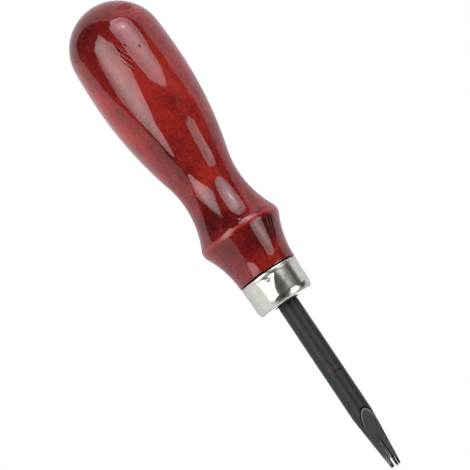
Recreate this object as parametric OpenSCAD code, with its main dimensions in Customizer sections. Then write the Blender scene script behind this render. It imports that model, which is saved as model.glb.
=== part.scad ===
// Leather edge beveler: a turned hardwood handle, a drawn metal ferrule and a steel blade with a forked tip.
// The tool lies along X with its tip towards +X. The origin is on the axis, in the ferrule's end face,
// and +Z points up as the tool lies on a bench. All sizes are in millimetres.

/* [Handle] */
// Length from the butt to the shoulder that meets the ferrule
handle_length = 81.8; // [78:0.1:100]
// Largest diameter, at the belly
belly_d = 25.8; // [22:0.1:32]
// Distance from the butt to the belly's largest diameter
belly_at = 21.8; // [18:0.1:28]
// Radius of the belly's arc towards the butt
belly_rear_r = 150; // [80:5:400]
// Smallest diameter, at the waist
waist_d = 16.4; // [13:0.1:20]
// Distance from the butt to the waist
waist_at = 56.2; // [48:0.1:62]
// Radius of the hollow between the belly and the waist
waist_hollow_r = 25; // [14:0.5:45]
// Diameter over the ridge in front of the waist
ridge_d = 22.4; // [20.5:0.1:27]
// Distance from the butt to the ridge
ridge_at = 69.2; // [64:0.1:76]
// Radius of the ridge's rounded crest
ridge_crest_r = 3.6; // [1:0.1:6]
// Diameter of the neck beside the ferrule
neck_d = 16.3; // [16:0.1:19]
// Length of the straight land between the neck's hollow and the shoulder
neck_land = 1; // [0.6:0.1:2]
// Rounding of the shoulder's outer edge
shoulder_round = 0.4; // [0.1:0.05:0.6]

/* [Ferrule] */
// Outside diameter of the ferrule
ferrule_d = 15.8; // [14:0.1:18]
// Length from the open rim to the end face
ferrule_length = 9; // [7:0.1:14]
// Thickness of the side wall
ferrule_wall = 0.6; // [0.4:0.05:1]
// Thickness of the end wall
ferrule_end_wall = 0.7; // [0.4:0.05:1.2]
// Rounding of the end's outer edge
ferrule_edge_r = 1.25; // [0.8:0.05:2]
// Rounding of the open rim's outer edge
ferrule_rim_r = 0.25; // [0.1:0.05:0.35]
// Diameter of the hole in the end face
ferrule_hole_d = 8.2; // [6.5:0.1:10]
// Radial clearance between the ferrule and the handle's tenon
ferrule_clearance = 0.02; // [0:0.01:0.1]

/* [Punch mark] */
// Diameter of the mark on the ferrule's surface
punch_d = 1; // [0.6:0.05:1.4]
// Depth of the mark
punch_depth = 0.3; // [0.15:0.05:0.4]
// Distance from the open rim to the mark
punch_from_rim = 1.9; // [1.2:0.1:5]
// Turn of the mark about the axis, from +Z towards -Y
punch_turn = 6.5; // [0:0.5:359]
// Clearance of the driven bump in the tenon
punch_clearance = 0.03; // [0.01:0.01:0.1]

/* [Blade] */
// Diameter of the round shank
shank_d = 5.56; // [4.8:0.02:6.4]
// Length of the blade outside the ferrule
blade_reach = 49.3; // [46:0.1:80]
// Turn of the blade about the axis, which takes its ground flat from +Z towards +Y
blade_turn = 21; // [0:1:359]
// Diameter of the tang inside the handle
tang_d = 4.8; // [3.5:0.1:5.2]
// Length of the tang behind its shoulder
tang_length = 42; // [25:0.5:60]
// Chamfer on the tang's inner end
tang_chamfer = 0.8; // [0.2:0.1:1.5]
// Radial clearance of the tang in its hole
tang_clearance = 0.02; // [0:0.01:0.1]
// Depth of the hole left free behind the tang
tang_end_gap = 0.5; // [0.2:0.1:2]

/* [Ground tip] */
// Length of the taper that ends at the tip
taper_length = 15.8; // [12:0.1:25]
// Diameter of the taper at the tip
tip_d = 2.8; // [2.2:0.1:3.6]
// Rounding of the tip's outer edge
tip_round = 0.5; // [0.2:0.05:0.8]
// Distance from the tip back to where the flat begins
flat_from_tip = 16.7; // [13:0.1:24]
// Slope of the flat to the axis, in degrees
flat_slope = 18.3; // [14:0.1:26]
// Height of the fork's upper face above the axis, where the flat meets it
fork_top = 0.5; // [0.2:0.05:0.9]
// Slope of the fork's upper face to the axis, in degrees
fork_slope = 3.5; // [0:0.1:5]
// Width of the gap between the two tines
fork_gap = 0.95; // [0.6:0.05:1.3]
// Length of the open gap between the tines
fork_depth = 2.8; // [2:0.1:4]
// Length of the sloping groove that runs out through the gap
groove_length = 6.8; // [4:0.1:9]

/* [Hidden] */
$fn = 96;

// Short steps along each arc of a turned outline, and a length that is sure to pass through a cut
arc_steps = 12;
through = 100;

belly_r = belly_d / 2;
waist_r = waist_d / 2;
ridge_r = ridge_d / 2;
neck_r = neck_d / 2;
ferrule_r = ferrule_d / 2;
ferrule_bore_r = ferrule_r - ferrule_wall;
ferrule_corner_r = max(ferrule_edge_r - ferrule_wall, 0.1);
hole_r = ferrule_hole_d / 2;
tenon_r = ferrule_bore_r - ferrule_clearance;
tenon_length = ferrule_length - ferrule_end_wall;
tenon_chamfer = ferrule_corner_r + ferrule_clearance;
shank_r = shank_d / 2;
tang_r = tang_d / 2;
tip_r = tip_d / 2;

// Heights along the axis from the ferrule's end face, with the tip at the top
shoulder_h = -ferrule_length;
butt_h = shoulder_h - handle_length;
tenon_end_h = shoulder_h + tenon_length;
tang_end_h = tenon_end_h - tang_length;
taper_h = blade_reach - taper_length;

// Turning points of the handle's outline as [radius, distance from the butt]
belly = [belly_r, belly_at];
waist = [waist_r, waist_at];
ridge = [ridge_r, ridge_at];
neck = [neck_r, handle_length - neck_land];

// The belly's arc meets the waist's hollow, and the round butt meets the belly's rear arc, without a corner
belly_arc_r = ogee_radii(belly, waist) - waist_hollow_r;
butt_r = (2 * belly_r * belly_rear_r - pow(belly_at, 2) - pow(belly_r, 2)) / (2 * (belly_rear_r - belly_at));
butt_turn = acos((belly_at - butt_r) / (belly_rear_r - butt_r));

// The ball that made the mark and drove a bump of the wall into the tenon
punch_r = (pow(punch_d / 2, 2) + pow(punch_depth, 2)) / (2 * punch_depth);
punch_ball_at = ferrule_r + punch_r - punch_depth;

// Where the flat runs out into the fork's upper face
flat_end = blade_reach - flat_from_tip + (shank_r - fork_top) / tan(flat_slope);

// The groove's floor runs from the fork's upper face out through the underside at the fork's root
fork_root = blade_reach - fork_depth;
root_under_r = tip_r + (shank_r - tip_r) * fork_depth / taper_length;
groove_start = fork_root - groove_length;
groove_slope = atan((fork_top + root_under_r) / groove_length);

// Sum of the radii of two arcs that join p to q smoothly, each leaving its end parallel to the axis
function ogee_radii(p, q) = (pow(q[0] - p[0], 2) + pow(q[1] - p[1], 2)) / (2 * abs(q[0] - p[0]));

// Outline from p to q along those two arcs, without p itself
function ogee(p, q, p_arc) =
    let (side = sign(q[0] - p[0]), q_arc = ogee_radii(p, q) - p_arc)
    let (turn = asin((q[1] - p[1]) / (p_arc + q_arc)))
    concat(
        [for (i = [1 : arc_steps]) let (a = turn * i / arc_steps)
            [p[0] + side * p_arc * (1 - cos(a)), p[1] + p_arc * sin(a)]],
        [for (i = [arc_steps - 1 : -1 : 0]) let (a = turn * i / arc_steps)
            [q[0] - side * q_arc * (1 - cos(a)), q[1] - q_arc * sin(a)]]
    );

// Points of an arc about a centre, from one angle to another, with or without its first point
function arc(centre, r, from, to, first = 0) =
    [for (i = [first : arc_steps]) let (a = from + (to - from) * i / arc_steps)
        centre + r * [cos(a), sin(a)]];

// Lays a shape that is turned about Z down along X, with its top towards +X
module laid() {
    rotate([0, 90, 0]) children();
}

// The handle's outside, from the round butt over belly, waist and ridge to the tenon
module handle_outline() {
    rear_centre = [belly_r - belly_rear_r, belly_at];
    polygon(concat(
        arc([0, butt_r], butt_r, -90, butt_turn - 90),
        arc(rear_centre, belly_rear_r, butt_turn - 90, 0, first = 1),
        ogee(belly, waist, belly_arc_r),
        ogee(waist, ridge, ogee_radii(waist, ridge) - ridge_crest_r),
        ogee(ridge, neck, ridge_crest_r),
        arc([neck_r - shoulder_round, handle_length - shoulder_round], shoulder_round, 0, 90),
        [
            [tenon_r, handle_length],
            [tenon_r, handle_length + tenon_length - tenon_chamfer],
            [tenon_r - tenon_chamfer, handle_length + tenon_length],
            [0, handle_length + tenon_length]
        ]
    ));
}

// A ball at the punch mark, larger than the punch's own ball by the given amount
module punch_ball(extra) {
    translate([shoulder_h + punch_from_rim, 0, 0])
        rotate([punch_turn, 0, 0])
            translate([0, 0, punch_ball_at])
                sphere(r = punch_r + extra);
}

// Turned handle with its tenon, the drilled hole for the tang and the dent under the punch mark
module handle() {
    color([0.55, 0.07, 0.06])
        difference() {
            laid() translate([0, 0, butt_h]) rotate_extrude() handle_outline();
            laid() translate([0, 0, tang_end_h - tang_end_gap])
                cylinder(r = tang_r + tang_clearance, h = tang_length + tang_end_gap + through);
            punch_ball(ferrule_wall + punch_clearance);
        }
}

// Section through the wall of the ferrule, from the open rim to the hole in its end
module ferrule_section() {
    inner_end = -ferrule_end_wall;
    polygon(concat(
        [[ferrule_bore_r, shoulder_h]],
        arc([ferrule_r - ferrule_rim_r, shoulder_h + ferrule_rim_r], ferrule_rim_r, -90, 0),
        arc([ferrule_r - ferrule_edge_r, -ferrule_edge_r], ferrule_edge_r, 0, 90),
        [[hole_r, 0], [hole_r, inner_end]],
        arc([ferrule_bore_r - ferrule_corner_r, inner_end - ferrule_corner_r], ferrule_corner_r, 90, 0)
    ));
}

// Drawn cup with a hole in its end, staked to the tenon by one punch mark
module ferrule() {
    color([0.80, 0.79, 0.76])
        difference() {
            union() {
                laid() rotate_extrude() ferrule_section();
                intersection() {
                    punch_ball(ferrule_wall);
                    laid() translate([0, 0, shoulder_h])
                        cylinder(r = ferrule_r - ferrule_wall / 2, h = tenon_length);
                }
            }
            punch_ball(0);
        }
}

// The blade's outside as it is turned: tang, shoulder, round shank and taper
module blade_outline() {
    polygon(concat(
        [
            [0, tang_end_h],
            [tang_r - tang_chamfer, tang_end_h],
            [tang_r, tang_end_h + tang_chamfer],
            [tang_r, tenon_end_h],
            [shank_r, tenon_end_h],
            [shank_r, taper_h]
        ],
        arc([tip_r - tip_round, blade_reach - tip_round], tip_round, 0, 90),
        [[0, blade_reach]]
    ));
}

// What is ground away above the sloping flat and the fork's upper face
module flat_cut() {
    intersection() {
        translate([blade_reach - flat_from_tip, -shank_d, shank_r])
            rotate([0, flat_slope, 0])
                cube([through, 2 * shank_d, through]);
        translate([flat_end, -shank_d, fork_top])
            rotate([0, fork_slope, 0])
                translate([-through, 0, 0])
                    cube([2 * through, 2 * shank_d, through]);
    }
}

// The round-bottomed groove that slopes down and opens between the tines
module groove_cut() {
    translate([groove_start, 0, fork_top])
        rotate([0, groove_slope, 0])
            translate([0, 0, fork_gap / 2]) {
                rotate([0, 90, 0]) cylinder(d = fork_gap, h = through);
                translate([0, -fork_gap / 2, 0]) cube([through, fork_gap, shank_d]);
            }
}

// One-piece blade: tang in the handle, round shank, ground flat and forked tip
module blade() {
    color([0.25, 0.25, 0.25])
        difference() {
            laid() rotate_extrude() blade_outline();
            rotate([-blade_turn, 0, 0]) {
                flat_cut();
                groove_cut();
            }
        }
}

handle();
ferrule();
blade();
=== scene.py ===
"""Looks of a leather edge beveler: a lacquered handle, a plated ferrule and a blackened, forked blade.

The tool lies along X with its tip towards +X. The origin is on its axis, in the ferrule's end face, and
+Z is up. Sizes are in metres. Angles about the axis are counted from straight up towards the -Y side.
"""

import logging
import math
from collections.abc import Callable, Mapping, Sequence
from dataclasses import dataclass
from enum import Enum
from functools import reduce
from typing import Any

import bmesh
import bpy
import numpy as np
from mathutils import Matrix, Vector


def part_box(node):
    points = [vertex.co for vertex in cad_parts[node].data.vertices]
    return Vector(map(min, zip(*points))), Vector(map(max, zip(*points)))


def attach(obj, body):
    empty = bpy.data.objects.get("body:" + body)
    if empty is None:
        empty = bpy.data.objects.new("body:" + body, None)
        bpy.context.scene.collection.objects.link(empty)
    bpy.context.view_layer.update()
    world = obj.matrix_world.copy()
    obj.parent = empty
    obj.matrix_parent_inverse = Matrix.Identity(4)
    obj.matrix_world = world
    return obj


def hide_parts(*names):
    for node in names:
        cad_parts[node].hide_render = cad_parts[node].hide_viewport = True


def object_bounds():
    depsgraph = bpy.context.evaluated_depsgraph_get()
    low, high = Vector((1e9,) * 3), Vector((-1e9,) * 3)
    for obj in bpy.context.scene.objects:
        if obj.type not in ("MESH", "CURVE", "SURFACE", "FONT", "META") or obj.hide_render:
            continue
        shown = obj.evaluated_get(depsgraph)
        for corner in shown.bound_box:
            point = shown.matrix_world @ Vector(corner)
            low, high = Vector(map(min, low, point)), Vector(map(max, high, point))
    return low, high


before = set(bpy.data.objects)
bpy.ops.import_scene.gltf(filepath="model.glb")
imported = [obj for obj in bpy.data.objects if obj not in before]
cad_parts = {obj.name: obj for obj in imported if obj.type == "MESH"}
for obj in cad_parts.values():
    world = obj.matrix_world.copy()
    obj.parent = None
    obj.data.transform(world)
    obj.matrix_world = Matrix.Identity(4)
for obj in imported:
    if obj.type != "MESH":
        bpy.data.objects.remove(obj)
CAD_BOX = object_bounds()

MM = 0.001
BODY = "root"
LOG = logging.getLogger("edge_beveler")

Point = tuple[float, float]
Place = tuple[float, float, float]
Rate = tuple[float, float, float]
Colour = tuple[float, float, float]
Band = tuple[float, float, float, float]
Relief = Callable[[np.ndarray, np.ndarray, np.ndarray], np.ndarray]
Socket = bpy.types.NodeSocket
Feeds = Mapping[str | int, Any]


def mm(*sizes: float) -> tuple[float, ...]:
    """Sizes given in millimetres, in metres."""
    return tuple(size * MM for size in sizes)


def mm_points(*points: Point) -> tuple[Point, ...]:
    """Points given in millimetres, in metres."""
    return tuple(mm(*point) for point in points)


def moved(pair: Point, by: float) -> Point:
    """Two places moved by the same distance."""
    return (pair[0] + by, pair[1] + by)


def dimmed(colour: Colour, share: float) -> Colour:
    """A colour brought down to a share of its brightness."""
    return tuple(share * part for part in colour)


class Node(Enum):
    """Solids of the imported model."""

    HANDLE = "handle"
    FERRULE = "ferrule"
    BLADE = "blade"


class Slot(Enum):
    """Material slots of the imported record."""

    WOOD = "stained_wood"
    NICKEL = "nickel_plate"
    STEEL = "black_steel"


# Outlines


def ogee_sum(start: Point, end: Point) -> float:
    """Sum of the radii of two arcs that join two turning points smoothly, both level at their ends."""
    return ((end[0] - start[0]) ** 2 + (end[1] - start[1]) ** 2) / (2 * abs(end[1] - start[1]))


def ogee(start: Point, end: Point, start_arc: float, steps: int) -> list[Point]:
    """Outline along two arcs that meet smoothly.

    Args:
        start: First turning point, as place along the axis and radius.
        end: Last turning point.
        start_arc: Radius of the arc at the first point.
        steps: Steps along each arc.

    Returns:
        The outline's points without the first one.
    """
    end_arc = ogee_sum(start, end) - start_arc
    side = math.copysign(1.0, end[1] - start[1])
    turn = math.asin((end[0] - start[0]) / (start_arc + end_arc))
    points = []
    for i in range(1, steps + 1):
        a = turn * i / steps
        points.append((start[0] + start_arc * math.sin(a), start[1] + side * start_arc * (1 - math.cos(a))))
    for i in range(steps - 1, -1, -1):
        a = turn * i / steps
        points.append((end[0] - end_arc * math.sin(a), end[1] - side * end_arc * (1 - math.cos(a))))
    return points


def arc(centre: Point, radius: float, first: float, last: float, steps: int) -> list[Point]:
    """Points of an arc from one angle to another, counted in radians from the axis."""
    angles = np.linspace(first, last, steps + 1)
    return [(centre[0] + radius * math.cos(a), centre[1] + radius * math.sin(a)) for a in angles]


def eased(end: Point, length: float, drop: float, steps: int) -> list[Point]:
    """Points of an elliptic rounding that ends square at a face.

    Args:
        end: Corner that is rounded off, as its place along the axis and its radius.
        length: Length of the rounding along the axis.
        drop: Fall of the radius over it.
        steps: Number of points.

    Returns:
        The points after the start of the rounding.
    """
    angles = np.linspace(0, math.pi / 2, steps + 1)[1:]
    return [(end[0] - length * (1 - math.sin(a)), end[1] - drop * (1 - math.cos(a))) for a in angles]


def divided(start: Point, end: Point, steps: int) -> list[Point]:
    """Points of a straight stretch without its first point."""
    way = np.array(end) - np.array(start)
    return [tuple(np.array(start) + way * i / steps) for i in range(1, steps + 1)]


def smooth(value: Any, start: float, end: float) -> Any:
    """Share from 0 to 1 of the way from start to end, with an even run-in and run-out."""
    share = np.clip((value - start) / (end - start), 0, 1)
    return share * share * (3 - 2 * share)


# Meshes


# Angle past which an edge of a turned piece stays sharp, factors that carry an outline to the other side,
# and the distance within which two places are one
TURNED_CREASE = math.radians(32)
MIRROR = np.array([-1.0, 1.0])
SAME = 1e-9


class Hull:
    """Corners and faces of a mesh that grows section by section along the axis."""

    def __init__(self) -> None:
        """Start without corners and faces."""
        self.points: list[Place] = []
        self.faces: list[tuple[int, ...]] = []

    def ring(self, x: float, outline: np.ndarray, turn: float) -> list[int]:
        """Add one section's corners.

        Args:
            x: Place along the axis.
            outline: Distances across and up from the axis.
            turn: Angle by which the section is turned about the axis.

        Returns:
            The corners' numbers.
        """
        first = len(self.points)
        cos, sin = math.cos(turn), math.sin(turn)
        self.points += [(x, across * cos - up * sin, across * sin + up * cos) for across, up in outline]
        return list(range(first, len(self.points)))

    def skin(self, near: list[int], far: list[int]) -> None:
        """Join two sections by a band of faces.

        Args:
            near: Corner numbers of the first section.
            far: Corner numbers of the second one.
        """
        for i in range(len(near)):
            j = (i + 1) % len(near)
            self.faces.append((near[i], near[j], far[j], far[i]))


def mesh_object(
    name: str, points: np.ndarray, faces: Sequence[Sequence[int]], crease: float
) -> bpy.types.Object:
    """Make a smooth closed mesh object.

    Args:
        name: Name of the piece.
        points: Corner places.
        faces: Corner numbers of each face.
        crease: Angle between faces past which an edge stays sharp.

    Returns:
        The new object, linked to the scene.
    """
    mesh = bpy.data.meshes.new(name)
    mesh.from_pydata([tuple(p) for p in points], [], [tuple(f) for f in faces])
    sheet = bmesh.new()
    sheet.from_mesh(mesh)
    bmesh.ops.recalc_face_normals(sheet, faces=sheet.faces)
    sheet.to_mesh(mesh)
    sheet.free()
    mesh.shade_smooth()
    mesh.set_sharp_from_angle(angle=crease)
    piece = bpy.data.objects.new(name, mesh)
    bpy.context.scene.collection.objects.link(piece)
    return piece


def turned(
    name: str, outline: Sequence[Point], angles: np.ndarray, relief: Relief, loop: bool
) -> bpy.types.Object:
    """Turn an outline about the X axis.

    Args:
        name: Name of the piece.
        outline: Places along the axis and radii. If it isn't a loop, it starts and ends on the axis.
        angles: Angles about the axis at which the outline is placed.
        relief: Height over the turned surface for places, radii and angles.
        loop: Whether the outline closes on itself.

    Returns:
        The new object.
    """
    line = np.array(outline)
    rings = line if loop else line[1:-1]
    along, turn = np.meshgrid(rings[:, 0], angles, indexing="ij")
    radius = np.repeat(rings[:, 1:2], len(angles), axis=1)
    radius = radius + relief(along, radius, turn)
    points = np.stack([along, -radius * np.sin(turn), radius * np.cos(turn)], axis=-1).reshape(-1, 3)
    count, around = len(rings), len(angles)
    faces = []
    for i in range(count if loop else count - 1):
        near, far = i * around, (i + 1) % count * around
        for j in range(around):
            k = (j + 1) % around
            faces.append((near + j, near + k, far + k, far + j))
    if not loop:
        poles = np.array([[line[0, 0], 0, 0], [line[-1, 0], 0, 0]])
        first, last = len(points), len(points) + 1
        points = np.vstack([points, poles])
        end = (count - 1) * around
        for j in range(around):
            k = (j + 1) % around
            faces.append((first, k, j))
            faces.append((last, end + j, end + k))
    return mesh_object(name, points, faces, TURNED_CREASE)


def gathered(count: int, centre: float, bias: float) -> np.ndarray:
    """Angles of a full turn that crowd together about one angle.

    Args:
        count: Number of angles.
        centre: Angle at which they are closest.
        bias: Share of the mean spacing that is taken away there.

    Returns:
        The angles.
    """
    turn = np.arange(count) * 2 * math.pi / count
    return centre + turn - bias * np.sin(turn)


def place(piece: bpy.types.Object, node: Node, material: bpy.types.Material) -> None:
    """Dress a piece and put it in the place of a solid.

    Args:
        piece: The piece.
        node: The solid.
        material: Finish of the piece.
    """
    piece.data.materials.append(material)
    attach(piece, BODY)
    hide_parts(node.value)
    LOG.info("%s: %d faces", piece.name, len(piece.data.polygons))


# Node trees


class Wiring:
    """Adds nodes to one node tree and wires their sockets."""

    def __init__(self, tree: bpy.types.NodeTree) -> None:
        """Keep the tree that is wired."""
        self.tree = tree

    def add(self, kind: str, inputs: Feeds | None = None, **settings: Any) -> bpy.types.Node:
        """Add a node.

        Args:
            kind: Blender's name of the node type.
            inputs: Values or sockets for the node's inputs, by name or number.
            **settings: Values of the node's own settings.

        Returns:
            The new node.
        """
        node = self.tree.nodes.new(kind)
        for name, value in settings.items():
            setattr(node, name, value)
        for name, value in (inputs or {}).items():
            if isinstance(value, Socket):
                self.tree.links.new(value, node.inputs[name])
            else:
                node.inputs[name].default_value = value
        return node

    def maths(self, operation: str, *values: Any) -> Socket:
        """Result of a sum on one to three values or sockets."""
        return self.add("ShaderNodeMath", dict(enumerate(values)), operation=operation).outputs[0]

    def vector(self, operation: str, *values: Any) -> bpy.types.Node:
        """Node for a sum on vectors."""
        return self.add("ShaderNodeVectorMath", dict(enumerate(values)), operation=operation)

    def both(self, *masks: Any) -> Socket:
        """Product of two or more masks."""
        return reduce(lambda one, two: self.maths("MULTIPLY", one, two), masks)

    def either(self, *masks: Any) -> Socket:
        """Largest of two or more masks."""
        return reduce(lambda one, two: self.maths("MAXIMUM", one, two), masks)

    def without(self, mask: Socket) -> Socket:
        """All that a mask leaves out."""
        return self.maths("SUBTRACT", 1.0, mask)

    def span(self, value: Any, low: Any, high: Any, start: Any = 0.0, end: Any = 1.0) -> Socket:
        """Value carried from one range to another and held at its ends."""
        inputs = {"Value": value, "From Min": low, "From Max": high, "To Min": start, "To Max": end}
        return self.add("ShaderNodeMapRange", inputs, clamp=True).outputs["Result"]

    def band(self, value: Socket, start: float, full: float, fade: float, end: float) -> Socket:
        """Mask that rises from start to full and falls from fade to end."""
        return self.both(self.span(value, start, full), self.span(value, end, fade))

    def blend(self, factor: Any, first: Socket | Colour, second: Socket | Colour) -> Socket:
        """Colour between two colours."""
        one, two = (side if isinstance(side, Socket) else (*side, 1.0) for side in (first, second))
        return self.add("ShaderNodeMix", {0: factor, 6: one, 7: two}, data_type="RGBA").outputs[2]

    def ramp(self, factor: Socket, stops: Sequence[tuple[float, Colour]]) -> Socket:
        """Colour from a row of colour stops.

        Args:
            factor: Share of the row.
            stops: Shares and colours in order, two or more.

        Returns:
            The colour.
        """
        node = self.add("ShaderNodeValToRGB", {"Fac": factor})
        row = node.color_ramp.elements
        for i, (share, colour) in enumerate(stops):
            stop = row[i] if i < 2 else row.new(share)
            stop.position = share
            stop.color = (*colour, 1.0)
        return node.outputs["Color"]

    def effect(self, group: bpy.types.NodeTree, inputs: Feeds) -> Socket:
        """Place a shared effect and return its output."""
        return self.add("ShaderNodeGroup", inputs, node_tree=group).outputs[0]


class Effects:
    """Surface effects that the finishes share, each built once as a node group."""

    def __init__(self) -> None:
        """Build the groups."""
        self.streaks = self._streaks()
        self.blotches = self._blotches()
        self.spot = self._spot()

    @staticmethod
    def _open(
        name: str, vectors: Sequence[str], numbers: Sequence[str]
    ) -> tuple[Wiring, Mapping[str, Socket], bpy.types.Node]:
        """Start a group with its sockets.

        Args:
            name: Name of the group.
            vectors: Names of the vector inputs.
            numbers: Names of the number inputs.

        Returns:
            The wiring, the group's inputs by name and its output node.
        """
        tree = bpy.data.node_groups.new(name, "ShaderNodeTree")
        for label in vectors:
            tree.interface.new_socket(name=label, in_out="INPUT", socket_type="NodeSocketVector")
        for label in numbers:
            tree.interface.new_socket(name=label, in_out="INPUT", socket_type="NodeSocketFloat")
        tree.interface.new_socket(name="Mask", in_out="OUTPUT", socket_type="NodeSocketFloat")
        wiring = Wiring(tree)
        inputs = {socket.name: socket for socket in wiring.add("NodeGroupInput").outputs if socket.name}
        return wiring, inputs, wiring.add("NodeGroupOutput")

    def _streaks(self) -> bpy.types.NodeTree:
        """Build streaks along the axis, with their length, width and contrast.

        Returns:
            The group.
        """
        numbers = ("Length", "Width", "Detail", "Low", "High")
        wiring, given, end = self._open("streaks", ("Vector",), numbers)
        along = wiring.maths("DIVIDE", 1.0, given["Length"])
        across = wiring.maths("DIVIDE", 1.0, given["Width"])
        scale = wiring.add("ShaderNodeCombineXYZ", {"X": along, "Y": across, "Z": across}).outputs[0]
        spot = wiring.vector("MULTIPLY", given["Vector"], scale).outputs[0]
        noise = wiring.add("ShaderNodeTexNoise", {"Vector": spot, "Scale": 1.0, "Detail": given["Detail"]})
        mask = wiring.span(noise.outputs["Fac"], given["Low"], given["High"])
        wiring.tree.links.new(mask, end.inputs["Mask"])
        return wiring.tree

    def _blotches(self) -> bpy.types.NodeTree:
        """Build cloudy patches of one size, with their contrast.

        Returns:
            The group.
        """
        wiring, given, end = self._open("blotches", ("Vector",), ("Size", "Detail", "Low", "High"))
        scale = wiring.maths("DIVIDE", 1.0, given["Size"])
        inputs = {"Vector": given["Vector"], "Scale": scale, "Detail": given["Detail"], "Roughness": 0.6}
        noise = wiring.add("ShaderNodeTexNoise", inputs)
        mask = wiring.span(noise.outputs["Fac"], given["Low"], given["High"])
        wiring.tree.links.new(mask, end.inputs["Mask"])
        return wiring.tree

    def _spot(self) -> bpy.types.NodeTree:
        """Build one soft patch about a point, with its half sizes and a ragged edge.

        Returns:
            The group.
        """
        wiring, given, end = self._open("spot", ("Vector", "Centre", "Half"), ("Softness", "Ragged"))
        away = wiring.vector("SUBTRACT", given["Vector"], given["Centre"]).outputs[0]
        share = wiring.vector("DIVIDE", away, given["Half"]).outputs[0]
        reach = wiring.vector("LENGTH", share).outputs["Value"]
        noise = wiring.add("ShaderNodeTexNoise", {"Vector": share, "Scale": 2.3, "Detail": 3.0})
        jitter = wiring.maths("SUBTRACT", noise.outputs["Fac"], 0.5)
        edge = wiring.maths("MULTIPLY_ADD", jitter, given["Ragged"], reach)
        outer = wiring.maths("ADD", 1.0, given["Softness"])
        inner = wiring.maths("SUBTRACT", 1.0, given["Softness"])
        wiring.tree.links.new(wiring.span(edge, outer, inner), end.inputs["Mask"])
        return wiring.tree


# Finishes


@dataclass(frozen=True)
class Patch:
    """A soft patch on a surface: its middle, its half sizes, its strength and how its edge runs out."""

    middle: Place
    half: Place
    strength: float
    softness: float = 0.6
    ragged: float = 0.5

    def inputs(self) -> Feeds:
        """Inputs of the spot effect."""
        return {"Centre": self.middle, "Half": self.half, "Softness": self.softness, "Ragged": self.ragged}


class Surface(Wiring):
    """A material in the making, wired from the place on its object."""

    def __init__(self, name: str) -> None:
        """Start an empty material.

        Args:
            name: Name of the material.
        """
        self.material = bpy.data.materials.new(name)
        self.material.use_nodes = True
        self.material.node_tree.nodes.clear()
        super().__init__(self.material.node_tree)
        self.spot = self.add("ShaderNodeTexCoord").outputs["Object"]

    def part(self, direction: Rate) -> Socket:
        """Place counted along one direction, at the given rate."""
        return self.vector("DOT_PRODUCT", self.spot, direction).outputs["Value"]

    def close(self, shader: bpy.types.Node) -> bpy.types.Material:
        """End the material in a shader and return it."""
        self.add("ShaderNodeOutputMaterial", {"Surface": shader.outputs[0]})
        return self.material


class Coat(Surface):
    """The material of one piece, with the effects that the finishes share."""

    def __init__(self, name: str, effects: Effects) -> None:
        """Start the material and keep the effects."""
        super().__init__(name)
        self.effects = effects

    def blotches(self, size: float, detail: float, low: float = 0.3, high: float = 0.7) -> Socket:
        """Mask of cloudy patches of one size, empty below the low level and full above the high one."""
        inputs = {"Vector": self.spot, "Size": size, "Detail": detail, "Low": low, "High": high}
        return self.effect(self.effects.blotches, inputs)

    def streaks(self, size: Point, detail: float, low: float = 0.3, high: float = 0.7) -> Socket:
        """Mask of streaks of one length and width along the tool, with levels as for blotches."""
        sizes = {"Length": size[0], "Width": size[1], "Detail": detail, "Low": low, "High": high}
        return self.effect(self.effects.streaks, {"Vector": self.spot, **sizes})

    def patch(self, patch: Patch) -> Socket:
        """Mask of one patch at full strength."""
        return self.effect(self.effects.spot, {"Vector": self.spot, **patch.inputs()})

    def mark(self, patch: Patch) -> Socket:
        """Mask of one patch at its own strength."""
        return self.maths("MULTIPLY", self.patch(patch), patch.strength)

    def finish(self, inputs: Feeds) -> bpy.types.Material:
        """End the material in one surface shader with the given inputs."""
        return self.close(self.add("ShaderNodeBsdfPrincipled", inputs))


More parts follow.
